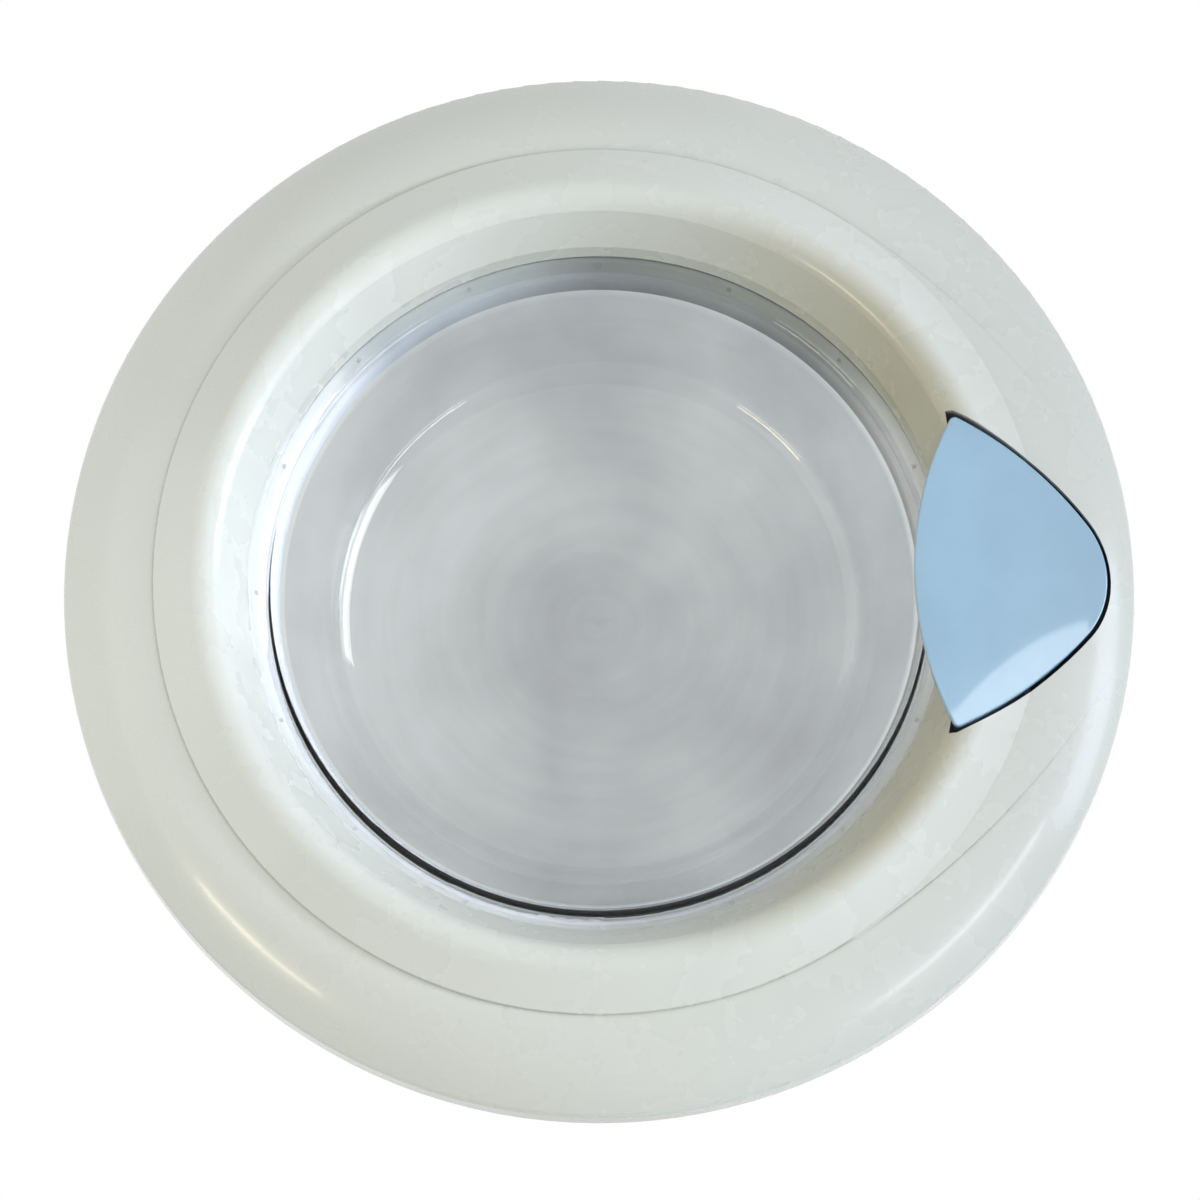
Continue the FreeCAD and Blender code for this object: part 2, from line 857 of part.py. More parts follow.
def add_rear_holes(body):
    """Clearance holes for the frame, hinge and latch screws."""
    radius = size.screw_radius + size.screw_hole_clearance
    back = -size.rim_depth
    deep = 2 * size.rear_wall
    across, height = screw_circle_place()
    ring_sketch = front_sketch(body, "frame_screw_hole", back)
    draw_circle(ring_sketch, across, height, radius)
    hole = extrude(body, ring_sketch, deep, "Pocket", flip=True)
    ring_of(body, [hole], size.frame_screw_count)
    others = front_sketch(body, "bracket_screw_holes", back)
    for spot_x, spot_z in hinge_screw_places() + latch_screw_places():
        draw_circle(others, spot_x, spot_z, radius)
    extrude(body, others, deep, "Pocket", flip=True)


def add_hinge_slots(body):
    """Two slots, open at the rim, in which the gooseneck arms swing."""
    low = size.arm_inner - 2 * size.moving_gap
    high = size.arm_inner + size.arm_wall + 2 * size.moving_gap
    sketch = front_sketch(body, "hinge_slots", -size.rim_depth)
    left = -size.rim_radius
    right = size.hinge_slot_run - size.hinge_x
    draw_loop(sketch, box_corners(left, right, low, high))
    draw_loop(sketch, box_corners(left, right, -high, -low))
    extrude(body, sketch, size.rim_depth, "Pocket", flip=True)


def add_latch_slot(body):
    sketch = front_sketch(body, "latch_slot", -size.rim_depth)
    draw_loop(sketch, latch_slot_corners())
    extrude(body, sketch, 2 * size.rear_wall, "Pocket", flip=True)


# Glass bowl and its seal

def neck_end(inward):
    """Where the neck's rounding meets the straight wall, and that wall's direction."""
    bend = size.neck_round - inward
    centre_up = glass_front() - size.neck_round
    ahead = sine(size.wall_lean)
    aside = cosine(size.wall_lean)
    return (size.neck_radius - bend * ahead, centre_up + bend * aside), bend


def bowl_corner(outward):
    """Both ends of the rounding between the bowl's wall and its domed bottom."""
    ahead = sine(size.wall_lean)
    aside = cosine(size.wall_lean)
    start = neck_end(0)[0]
    dome_up = size.dome_bend - size.bowl_depth
    base_x = start[0] - size.corner_round * ahead
    base_up = start[1] + size.corner_round * aside - dome_up
    along = -base_x * aside - base_up * ahead
    reach = size.dome_bend - size.corner_round
    rest = along * along - base_x * base_x - base_up * base_up + reach * reach
    run = root(rest) - along
    centre_x = base_x - run * aside
    centre_up = base_up - run * ahead
    bend = size.corner_round + outward
    wall_end = (centre_x + bend * ahead, centre_up + dome_up - bend * aside)
    scale = bend / reach
    dome_end = (centre_x + centre_x * scale, centre_up + dome_up + centre_up * scale)
    return wall_end, dome_end, bend


def make_glass_bowl():
    body = new_body("glass_bowl")
    section = plan_sketch(body, "glass_section")
    wall = size.glass_wall
    neck, neck_bend = neck_end(0)
    wall_end, dome_end, bend = bowl_corner(0)
    back_neck, back_neck_bend = neck_end(wall)
    back_wall_end, back_dome_end, back_bend = bowl_corner(wall)
    front = glass_front()
    draw_loop(section, [
        (0, -size.bowl_depth, size.dome_bend),
        dome_end + (bend,),
        wall_end,
        neck + (-neck_bend,),
        (size.neck_radius, front),
        (size.flange_radius, front),
        (size.flange_radius, front - wall),
        (size.neck_radius, front - wall, back_neck_bend),
        back_neck,
        back_wall_end + (-back_bend,),
        back_dome_end + (-(size.dome_bend + wall),),
        (0, -size.bowl_depth - wall),
    ])
    revolve(body, section)
    place(body)
    return body


def make_glass_seal():
    """A wedge of rubber pressed between the neck of the glass and the rear frame's bore."""
    body = new_body("glass_seal")
    section = plan_sketch(body, "seal_section")
    neck = neck_end(size.glass_wall)[0]
    slope = cosine(size.wall_lean) / sine(size.wall_lean)
    top = -size.seal_top - size.seat_gap
    low = size.seat_gap - size.seal_bottom
    lip = low + size.rear_wall / 2
    outer = size.bore_radius - size.seat_gap
    clear = 2 * size.seat_gap
    draw_loop(section, [
        (neck[0] + clear + (top - neck[1]) * slope, top),
        (neck[0] + clear + (lip - neck[1]) * slope, lip),
        (neck[0] + clear + size.rib_wall + (lip - neck[1]) * slope, low),
        (outer, low),
        (outer, top),
    ])
    revolve(body, section)
    place(body)
    return body


# Handle

def left_edge_x(height):
    """The handle's free left edge, an arc through its middle and its corners."""
    bend = left_edge_bend()
    return size.handle_left + bend - root(bend * bend - height * height)


def left_edge_bend():
    bow = size.handle_corner_x - size.handle_left
    half = size.handle_half_height
    return (bow * bow + half * half) / (2 * bow)


def handle_outline():
    near = size.handle_half_height - size.handle_corner_trim / 3
    low = size.handle_half_height - size.handle_corner_trim
    right = handle_right_side(0, near)
    left_x = left_edge_x(low)
    right[3] = right[3] + (size.handle_corner_trim,)
    return right + [(left_x, low, left_edge_bend()), (left_x, -low, size.handle_corner_trim)]


def make_handle():
    body = new_body("handle")
    section = plan_sketch(body, "skin_section")
    start = size.handle_left - 2 * size.handle_wall
    end = size.handle_tip_centre + size.handle_tip_round + 2 * size.handle_wall
    wall = size.handle_wall
    draw_loop(section, [
        (start, skin_front(start, wall)),
        (size.handle_left, skin_front(size.handle_left, wall), wall - size.handle_bend),
        (end, skin_front(end, wall)),
        (end, skin_front(end), size.handle_bend),
        (size.handle_left, skin_front(size.handle_left)),
        (start, skin_front(start)),
    ])
    revolve(body, section, spread=2 * size.handle_tip_angle)
    outline = front_sketch(body, "handle_outline")
    far = 2 * size.rim_radius
    draw_loop(outline, box_corners(0, far, -far, far))
    draw_loop(outline, handle_outline())
    extrude(body, outline, far, "Pocket", both_ways=True)
    soften_front_edge(body)
    add_handle_lugs(body)
    add_cheeks(body)
    place(body)
    return body


def soften_front_edge(body):
    """Rounds the edge of the handle's front face, found by where its edges lie."""
    document.recompute()
    shaped = body.Tip
    centre_x, centre_up = (value.number for value in skin_centre())
    names = []
    for number, edge in enumerate(shaped.Shape.Edges, start=1):
        middle = edge.valueAt((edge.FirstParameter + edge.LastParameter) / 2)
        radius = math.hypot(middle.x, middle.z)
        reach = math.hypot(radius - centre_x, -middle.y - centre_up)
        if abs(reach - size.handle_bend.number) < 0.01:
            names.append(f"Edge{number}")
    feature = body.newObject("PartDesign::Fillet", "handle_edge_round")
    feature.Base = (shaped, names)
    feature.Radius = size.handle_edge.number
    bind(feature, "Radius", size.handle_edge)
    body.Tip = feature


def add_lug_pair(body, name, outline, inner, wall):
    """Pads a plan outline between two heights above the middle, and the same below."""
    sketch = plan_sketch(body, name, inner + wall)
    outline(sketch)
    pad = extrude(body, sketch, wall)
    return twin(body, [pad])


def eye_and_stem(across, front, radius, tops):
    """A rounded eye whose sides run straight on to the two points of its root."""
    left, right = tops
    if left[1].number > front.number:
        return [(across - radius, front, radius), (across, front - radius, radius),
                (across + radius, front), right, left]
    return [(across + radius, front, radius), (across, front + radius, radius),
            (across - radius, front), left, right]


def drill(body, name, across, front, radius, reach):
    """A vertical bore that reaches as far above the middle as below it."""
    sketch = plan_sketch(body, name)
    draw_circle(sketch, across, front, radius)
    extrude(body, sketch, 2 * reach, "Pocket", both_ways=True)


def ear_inner():
    """Height of the housing's ears above the middle, just outside the handle's lugs."""
    return size.handle_lug_inner + size.handle_lug_wall + size.moving_gap


def add_handle_lugs(body):
    across = size.handle_pivot_x
    radius = size.handle_ear_radius
    buried = size.handle_wall / 2
    tops = [(across + side * radius, skin_front(across + side * radius, buried))
            for side in (-1, 1)]

    def outline(sketch):
        draw_loop(sketch, eye_and_stem(across, size.handle_pivot_front, radius, tops))

    add_lug_pair(body, "handle_lug", outline, size.handle_lug_inner, size.handle_lug_wall)
    drill(body, "handle_pin_bore", across, size.handle_pivot_front,
          size.handle_pin_radius + size.fit_gap, ear_inner())


def add_cheeks(body):
    """Two cheeks and the cross bar that pulls the hook's tail."""
    buried = size.handle_wall / 2
    left = size.bar_x - 2 * size.bar_radius
    right = size.bar_x + 2 * size.bar_radius
    low = size.bar_front - size.bar_radius

    def outline(sketch):
        draw_loop(sketch, [
            (left + size.bar_radius, low),
            (right - size.bar_radius, low),
            (right, skin_front(right, buried)),
            (left, skin_front(left, buried)),
        ])

    add_lug_pair(body, "cheek", outline, size.cheek_inner, size.cheek_wall)
    bar = plan_sketch(body, "cross_bar")
    draw_circle(bar, size.bar_x, size.bar_front, size.bar_radius)
    extrude(body, bar, 2 * (size.cheek_inner + size.cheek_wall), both_ways=True)


# Handle housing

def housing_margin():
    """How far outside the opening's edge the housing's outer face lies."""
    return size.step_draft + size.housing_wall


def make_handle_housing():
    body = new_body("handle_housing")
    low = size.bay_floor - size.housing_wall
    outer = front_sketch(body, "housing_outline", low)
    draw_loop(outer, opening_outline(housing_margin()))
    extrude(body, outer, size.crest_front)
    add_housing_tabs(body)
    cut_finger_space(body)
    cut_mechanism_bay(body)
    trim_to_ring(body)
    cut_under_finger_floor(body)
    add_pin_ears(body)
    place(body)
    return body


def add_housing_tabs(body):
    """Two screw tabs whose front faces meet the ring's short bosses."""
    foot = housing_tab_face() - size.housing_wall
    sketch = front_sketch(body, "housing_tab", foot)
    draw_circle(sketch, size.housing_tab_x, size.housing_tab_z, size.housing_tab_radius)
    tab = extrude(body, sketch, size.housing_wall)
    hole_sketch = front_sketch(body, "housing_tab_hole", foot)
    radius = size.screw_radius + size.screw_hole_clearance
    draw_circle(hole_sketch, size.housing_tab_x, size.housing_tab_z, radius)
    hole = extrude(body, hole_sketch, size.housing_wall, "Pocket", flip=True)
    twin(body, [tab, hole])


def cut_finger_space(body):
    """The hollow behind the handle's left side, where the fingers go."""
    sketch = front_sketch(body, "finger_space", size.finger_floor)
    corners = opening_outline(size.step_draft)
    top = corners[3][1]
    edge = size.divider_x
    gap = size.handle_gap + size.step_draft
    bend = flank()[2] + gap
    edge_z = flank_height(edge, gap)
    draw_loop(sketch, [
        (edge, -edge_z),
        (edge, edge_z, bend),
        corners[3][:2],
        corners[4],
        corners[5],
        (corners[0][0], -top, bend),
    ])
    extrude(body, sketch, 2 * size.crest_front, "Pocket", flip=True)


def cut_mechanism_bay(body):
    """The hollow behind the handle's tip, for its lugs, its bar and the hook's tail."""
    sketch = front_sketch(body, "mechanism_bay", size.bay_floor)
    edge = size.divider_x + size.housing_wall
    gap = size.handle_gap + size.step_draft
    bend = flank()[2] + gap
    edge_z = flank_height(edge, gap)
    corners = handle_right_side(gap, size.handle_half_height)
    draw_loop(sketch, [
        (edge, edge_z),
        (edge, -edge_z, bend),
        corners[1],
        corners[2],
    ])
    extrude(body, sketch, 2 * size.crest_front, "Pocket", flip=True)
    above = front_sketch(body, "divider_top", size.divider_top)
    low = size.divider_x - size.housing_wall
    high = size.divider_x + 2 * size.housing_wall
    half = size.handle_half_height / 2
    draw_loop(above, box_corners(low, high, -half, half))
    extrude(body, above, 2 * size.crest_front, "Pocket", flip=True)


def trim_to_ring(body):
    """Takes away what would stand in the front ring's own wall."""
    section = plan_sketch(body, "ring_inside")
    edge = inner_profile(size.moving_gap)
    far = size.rim_radius + size.rim_round
    high = 2 * size.crest_front
    near = size.lip_radius - size.rim_round
    draw_loop(section, [
        (near, high),
        (near, size.lip_end),
        edge["end"],
        edge["lip"],
        edge["funnel"] + (-edge["crest"][2],),
        edge["crest"][:2],
        edge["plateau"],
        edge["step"] + (-edge["shoulder"][2],),
        edge["shoulder"][:2] + (-edge["rim"][2],),
        edge["rim"][:2],
        (far, edge["rim"][1]),
        (far, high),
    ])
    revolve(body, section, "Groove")


def cut_under_finger_floor(body):
    """Room for the hook under the finger floor, and the way through for its tail."""
    low = size.bay_floor - size.housing_wall
    under = front_sketch(body, "under_finger_floor", low)
    near = size.lip_radius - 2 * size.rim_round
    half = size.rim_radius
    draw_loop(under, box_corners(near, size.divider_x, -half, half))
    room = size.finger_floor - size.housing_wall - low
    extrude(body, under, room, "Pocket", flip=True)
    way = front_sketch(body, "tail_way", low)
    side = hook_pin_half() + 2 * size.moving_gap
    start = size.divider_x - size.moving_gap
    end = size.handle_pivot_x - 2 * size.moving_gap
    draw_loop(way, box_corners(start, end, -side, side))
    extrude(body, way, room - 2 * size.moving_gap, "Pocket", flip=True)


def add_pin_ears(body):
    """Two ears that hold the ends of the handle's pin."""
    across = size.handle_pivot_x
    radius = size.handle_ear_radius
    foot = size.bay_floor - size.housing_wall / 2
    tops = [(across + side * radius, foot) for side in (-1, 1)]

    def outline(sketch):
        draw_loop(sketch, eye_and_stem(across, size.handle_pivot_front, radius, tops))

    add_lug_pair(body, "pin_ear", outline, ear_inner(), size.ear_wall)
    drill(body, "ear_bore", across, size.handle_pivot_front,
          size.handle_pin_radius + size.fit_gap, ear_inner() + size.ear_wall)


# Pins, bushes and springs, drawn about their own upright axes

def turned(name, corners, across, front):
    body = new_body(name)
    section = body.newObject("Sketcher::SketchObject", f"{name}_section")
    section.AttachmentSupport = (origin_feature(body, "XZ_Plane"), [""])
    section.MapMode = "FlatFace"
    draw_loop(section, corners)
    revolve(body, section)
    place(body, across, front)
    return body


def plain_pin(name, radius, half, across, front):
    """A straight pin with chamfered ends."""
    chamfer = radius / 4
    corners = [
        (0, -half),
        (radius - chamfer, -half),
        (radius, chamfer - half),
        (radius, half - chamfer),
        (radius - chamfer, half),
        (0, half),
    ]
    return turned(name, corners, across, front)


def make_handle_pin():
    return plain_pin("handle_pin", size.handle_pin_radius, ear_inner() + size.ear_wall,
                     size.handle_pivot_x, size.handle_pivot_front)


def hook_pin_half():
    return size.latch_lug_inner + size.latch_wall + size.hook_pin_radius / 2


def make_hook_pin():
    return plain_pin("hook_pin", size.hook_pin_radius, hook_pin_half(), size.hook_pivot_x, 0)


def arm_top():
    return size.arm_inner + size.arm_wall


def make_hinge_pin():
    """A pin with a head above the upper arm and a groove for its clip below the lower."""
    radius = size.hinge_pin_radius
    head_low = arm_top() + 2 * size.moving_gap
    head_high = head_low + size.pin_head_height
    groove_high = -arm_top() - 2 * size.moving_gap
    groove_low = groove_high - size.clip_wall - size.fit_gap
    end = groove_low - radius / 2
    groove = radius - size.pin_groove
    chamfer = radius / 4
    head = size.pin_head_radius
    corners = [
        (0, end),
        (radius - chamfer, end),
        (radius, end + chamfer),
        (radius, groove_low),
        (groove, groove_low),
        (groove, groove_high),
        (radius, groove_high),
        (radius, head_low),
        (head, head_low),
        (head, head_high - chamfer),
        (head - chamfer, head_high),
        (0, head_high),
    ]
    return turned("hinge_pin", corners, -size.hinge_x, size.hinge_front)


def make_hinge_clip():
    """An open ring that snaps into the pin's groove."""
    body = new_body("hinge_pin_clip")
    top = -arm_top() - 2 * size.moving_gap - size.fit_gap / 2
    sketch = plan_sketch(body, "clip_outline", top)
    inside = size.hinge_pin_radius - size.pin_groove + size.fit_gap / 2
    mouth = size.hinge_pin_radius / 2
    outside = size.clip_radius
    inside_up = root(inside * inside - mouth * mouth)
    outside_up = root(outside * outside - mouth * mouth)
    draw_loop(sketch, [
        (mouth, inside_up),
        (mouth, outside_up, -outside),
        (outside, 0, -outside),
        (0, -outside, -outside),
        (-outside, 0, -outside),
        (-mouth, outside_up),
        (-mouth, inside_up, inside),
        (-inside, 0, inside),
        (0, -inside, inside),
        (inside, 0, inside),
    ])
    extrude(body, sketch, size.clip_wall)
    place(body, -size.hinge_x, size.hinge_front)
    return body


def make_bush(name, side):
    """A flanged bush in one eye of the hinge bracket, its flange towards the carrier."""
    inside = size.hinge_pin_radius + size.fit_gap
    outside = inside + size.bush_wall
    flange = size.hinge_eye_radius
    near = (size.arm_inner - size.bush_flange) * side
    step = size.arm_inner * side
    far = arm_top() * side
    corners = [
        (inside, near),
        (flange, near),
        (flange, step),
        (outside, step),
        (outside, far),
        (inside, far),
    ]
    return turned(name, corners, -size.hinge_x, size.hinge_front)


def make_spring(name, coil, turns, start_angle, legs, low, across, front):
    """A torsion spring: a close coil round a pin with a straight leg at each end."""
    wire = size.spring_wire.number
    pitch = size.spring_pitch.number
    helix = Part.makeHelix(pitch, pitch * turns.number, coil.number)
    edge = helix.Edges[0]
    first_leg, last_leg = (leg.number for leg in legs)
    start = edge.valueAt(edge.FirstParameter)
    end = edge.valueAt(edge.LastParameter)
    start_way = edge.tangentAt(edge.FirstParameter)
    end_way = edge.tangentAt(edge.LastParameter)
    tip = start - start_way * first_leg
    first = Part.LineSegment(tip, start).toShape()
    last = Part.LineSegment(end, end + end_way * last_leg).toShape()
    path = Part.Wire([first] + helix.Edges + [last])
    profile = Part.Wire([Part.Circle(tip, start_way, wire).toShape()])
    coil_shape = path.makePipeShell([profile], True, True)
    coil_shape.rotate(Vector(0, 0, 0), Vector(0, 0, 1), start_angle.number)
    spring = document.addObject("Part::Feature", name)
    spring.Shape = coil_shape
    place(spring, across, front, low)
    return spring


def make_handle_spring():
    """One leg lies under the handle's skin and the other stands on the housing's floor."""
    turns = size.handle_coil_turns
    low = size.handle_lug_inner - size.spring_pitch * (turns + 1.5)
    down = size.handle_pivot_front - size.bay_floor - size.spring_wire - size.moving_gap
    return make_spring("handle_spring", size.handle_coil_radius, turns, size.handle_coil_start,
                       (size.handle_spring_leg, down), low,
                       size.handle_pivot_x, size.handle_pivot_front)


def make_hook_spring():
    """One leg lies along the hook's shank and the other presses on the bracket's plate."""
    low = size.hook_half_wall + 2 * size.spring_wire + size.bar_play / 2
    legs = (size.hook_spring_leg, size.hook_spring_leg)
    return make_spring("hook_spring", size.hook_coil_radius, size.hook_coil_turns,
                       size.hook_coil_start, legs, low, size.hook_pivot_x, 0)


# Latch

def latch_slot_corners():
    """The slot for the hook, through the bracket's plate and the rear frame alike."""
    middle = size.hook_pivot_x
    half = size.latch_slot_half
    return box_corners(middle - size.latch_slot_left, middle + size.latch_slot_right, -half, half)


def latch_screw_places():
    middle = size.hook_pivot_x + size.latch_screw_offset
    left = middle - size.latch_screw_spread
    right = middle + size.latch_screw_spread
    height = size.latch_screw_z
    return [(left, height), (right, height), (left, -height), (right, -height)]


def make_latch_bracket():
    body = new_body("latch_bracket")
    foot = rear_inner_front()
    plate = front_sketch(body, "latch_plate", foot)
    half = size.latch_half_height
    middle = size.hook_pivot_x
    left = middle - size.latch_plate_left
    right = middle + size.latch_plate_right
    draw_loop(plate, box_corners(left, right, -half, half))
    draw_loop(plate, latch_slot_corners())
    radius = size.screw_radius + size.pilot_clearance
    for across, height in latch_screw_places():
        draw_circle(plate, across, height, radius)
    extrude(body, plate, size.latch_wall)
    across = size.hook_pivot_x
    spread = size.latch_lug_radius
    tops = [(across + side * (spread + size.latch_wall), foot) for side in (-1, 1)]

    def outline(sketch):
        draw_loop(sketch, eye_and_stem(across, as_size(0), spread, tops))

    add_lug_pair(body, "latch_lug", outline, size.latch_lug_inner, size.latch_wall)
    drill(body, "latch_bore", across, 0, size.hook_pin_radius + size.fit_gap / 2,
          hook_pin_half())
    place(body)
    return body


def make_latch_hook():
    """One flat casting: the eye, the tail that hooks over the handle's bar, and the nose."""
    body = new_body("latch_hook")
    across = size.hook_pivot_x
    half = 2 * size.hook_half_wall
    eye = plan_sketch(body, "hook_eye")
    draw_circle(eye, across, 0, size.hook_boss_radius)
    extrude(body, eye, half, both_ways=True)
    shank = plan_sketch(body, "hook_shank")
    side = size.hook_shank / 2
    reach = size.hook_reach
    catch = size.hook_nose_wall - reach
    tip = across - size.hook_nose
    chamfer = size.nose_chamfer
    draw_loop(shank, [
        (across - side, 0),
        (across - side, catch),
        (tip + chamfer, catch),
        (tip, catch - chamfer),
        (tip + chamfer, catch - 2 * chamfer),
        (across, -reach),
        (across + side, chamfer - reach),
        (across + side, 0),
    ])
    extrude(body, shank, half, both_ways=True)
    tail = plan_sketch(body, "hook_tail")
    draw_loop(tail, tail_corners())
    extrude(body, tail, half, both_ways=True)
    drill(body, "hook_bore", across, 0, size.hook_pin_radius + size.fit_gap, half)
    place(body)
    return body


def tail_corners():
    """From the eye to the right, up beside the handle's bar and over it."""
    under = size.bar_front + size.bar_radius + size.bar_play
    right = size.bar_x - size.bar_radius - size.bar_side_play
    left = right - size.tail_finger
    low = size.bay_floor - size.housing_wall - size.moving_gap - size.tail_wall
    return [
        (size.hook_pivot_x, low),
        (right, low),
        (right, under),
        (size.bar_x + size.bar_radius, under),
        (size.bar_x + size.bar_radius, under + size.tail_tip),
        (left, under + size.tail_tip),
        (left, low + size.tail_wall),
        (size.hook_pivot_x, low + size.tail_wall),
    ]


# Hinge

def hinge_screw_places():
    middle = size.carrier_screw_run - size.hinge_x
    left = middle - size.carrier_screw_spread / 2
    right = middle + size.carrier_screw_spread / 2
    height = size.carrier_screw_z
    return [(left, height), (right, height), (left, -height), (right, -height)]


def make_hinge_carrier():
    """A folded steel carrier: a foot on the rear frame and two ears for the pin."""
    body = new_body("hinge_carrier")
    foot = rear_inner_front()
    outer = size.arm_inner - size.bush_flange - size.moving_gap
    plate = front_sketch(body, "carrier_plate", foot)
    eye = -size.hinge_x
    near = eye + size.carrier_near
    draw_loop(plate, box_corners(near, eye + size.carrier_far, -outer, outer))
    radius = size.screw_radius + size.pilot_clearance
    for across, height in hinge_screw_places():
        draw_circle(plate, across, height, radius)
    extrude(body, plate, size.carrier_wall)
    spread = size.carrier_eye_radius
    tops = [(near, foot), (eye + size.carrier_lug_run, foot)]

    def outline(sketch):
        draw_loop(sketch, eye_and_stem(eye, size.hinge_front, spread, tops))

    add_lug_pair(body, "carrier_ear", outline, outer - size.carrier_wall, size.carrier_wall)
    drill(body, "carrier_bore", eye, size.hinge_front,
          size.hinge_pin_radius + size.fit_gap / 2, outer)
    place(body)
    return body


def arm_corners():
    """The gooseneck: out from the eye at a slant, then straight back to the plate."""
    eye_x = -size.hinge_x
    eye_up = size.hinge_front
    ahead = cosine(size.arm_angle)
    aside = sine(size.arm_angle)
    half = size.arm_width / 2
    bend_x = eye_x + size.arm_run * ahead
    bend_up = eye_up - size.arm_run * aside
    turn = half * (1 - aside) / ahead
    plate_front = size.plate_wall / 2 - size.panel_depth
    return [
        (eye_x - half * aside, eye_up - half * ahead),
        (bend_x - half, bend_up - turn),
        (bend_x - half, plate_front),
        (bend_x + half, plate_front),
        (bend_x + half, bend_up + turn),
        (eye_x + half * aside, eye_up + half * ahead),
    ]


def make_hinge_bracket():
    body = new_body("hinge_bracket")
    plate = front_sketch(body, "hinge_plate", -size.panel_depth)
    door_x = door_offset()[0]
    draw_rounded_plate(plate, -door_x)
    half_x = size.bolt_spacing_x / 2
    half_z = size.bolt_spacing_z / 2
    for side in (-1, 1):
        for rise in (-1, 1):
            draw_circle(plate, side * half_x - door_x, rise * half_z, size.bolt_hole_radius)
    extrude(body, plate, size.plate_wall)

    def eye(sketch):
        draw_circle(sketch, -size.hinge_x, size.hinge_front, size.hinge_eye_radius)

    def arm(sketch):
        draw_loop(sketch, arm_corners())

    add_lug_pair(body, "bracket_eye", eye, size.arm_inner, size.arm_wall)
    add_lug_pair(body, "bracket_arm", arm, size.arm_inner, size.arm_wall)
    drill(body, "bracket_bore", -size.hinge_x, size.hinge_front,
          size.hinge_pin_radius + size.fit_gap + size.bush_wall, arm_top())
    place(body)
    return body


def draw_rounded_plate(sketch, middle):
    half_x = size.plate_width / 2
    half_z = size.plate_height / 2
    bend = size.plate_round
    right = middle + half_x
    left = middle - half_x
    draw_loop(sketch, [
        (left + bend, -half_z),
        (right - bend, -half_z, bend),
        (right, bend - half_z),
        (right, half_z - bend, bend),
        (right - bend, half_z),
        (left + bend, half_z, bend),
        (left, half_z - bend),
        (left, bend - half_z, bend),
    ])


# Screws

def make_screw(name, length):
    """A pan-head screw with a cross recess, its head's underside at its own origin."""
    body = new_body(name)
    section = plan_sketch(body, f"{name}_section")
    head = size.screw_head_radius
    height = size.screw_head_height
    shank = size.screw_radius
    draw_loop(section, [
        (0, -height),
        (head / 2, -height, -head),
        (head, -height / 3),
        (head, 0),
        (shank, 0),
        (shank, length - shank),
        (shank / 3, length),
        (0, length),
    ])
    revolve(body, section)
    for part, (half_x, half_z) in enumerate(((head / 2, head / 8), (head / 8, head / 2))):
        cross = front_sketch(body, f"{name}_recess_{part}", -height)
        draw_loop(cross, box_corners(-half_x, half_x, -half_z, half_z))
        extrude(body, cross, height / 2, "Pocket", flip=True)
    return body


def make_screw_group(name, places, length, front):
    """Like screws at several places, each a separate solid of one group."""
    screw = make_screw(f"{name}_one", length)
    links = []
    for number, (across, height) in enumerate(places):
        link = document.addObject("App::Link", f"{name}_{number}")
        link.LinkedObject = screw
        place(link, across, front, height)
        links.append(link)
    group = document.addObject("Part::Compound", name)
    group.Links = links
    return group


def frame_screw_places():
    count = int(size.frame_screw_count.number)
    places = []
    for number in range(count):
        angle = size.frame_screw_angle + as_size(number) * 360 / size.frame_screw_count
        places.append((size.frame_screw_circle * cosine(angle),
                       size.frame_screw_circle * sine(angle)))
    return places


def housing_screw_places():
    return [(size.housing_tab_x, size.housing_tab_z), (size.housing_tab_x, -size.housing_tab_z)]


def make_pieces():
    rear = -size.rim_depth
    tab_back = housing_tab_face() - size.housing_wall
    return {
        "front_frame": make_front_frame(),
        "rear_frame": make_rear_frame(),
        "glass_bowl": make_glass_bowl(),
        "glass_seal": make_glass_seal(),
        "handle": make_handle(),
        "handle_housing": make_handle_housing(),
        "handle_pin": make_handle_pin(),
        "handle_spring": make_handle_spring(),
        "latch_hook": make_latch_hook(),
        "hook_pin": make_hook_pin(),
        "hook_spring": make_hook_spring(),
        "latch_bracket": make_latch_bracket(),
        "latch_screws": make_screw_group("latch_screws", latch_screw_places(),
                                         size.short_screw_length, rear),
        "housing_screws": make_screw_group("housing_screws", housing_screw_places(),
                                           size.housing_screw_length, tab_back),
        "hinge_bracket": make_hinge_bracket(),
        "hinge_carrier": make_hinge_carrier(),
        "hinge_pin": make_hinge_pin(),
        "hinge_pin_clip": make_hinge_clip(),
        "hinge_bush_upper": make_bush("hinge_bush_upper", 1),
        "hinge_bush_lower": make_bush("hinge_bush_lower", -1),
        "hinge_screws": make_screw_group("hinge_screws", hinge_screw_places(),
                                         size.short_screw_length, rear),
        "frame_screws": make_screw_group("frame_screws", frame_screw_places(),
                                         size.frame_screw_length, rear),
    }


def main():
    make_sheet()
    pieces = make_pieces()
    finish(pieces)


def finish(pieces):
    document.recompute()
    for thing in document.Objects:
        if "Invalid" in thing.State or "Error" in thing.State:
            raise RuntimeError(f"{thing.Name} failed: {thing.State}")
    os.makedirs("parts", exist_ok=True)
    for node, piece in pieces.items():
        piece.Label = node
        shape = piece.Shape
        if shape.isNull() or not shape.isValid() or not shape.Solids:
            raise RuntimeError(f"{node} has no valid solid")
        shape.exportStep(f"parts/{node}.step")
        print(node, len(shape.Solids), round(shape.Volume), shape.BoundBox)


main()
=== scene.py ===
"""Looks of a round washing machine door: white ring, glass bowl, blue handle, hinge and latch."""

import math

import bpy
from mathutils import Matrix, Vector


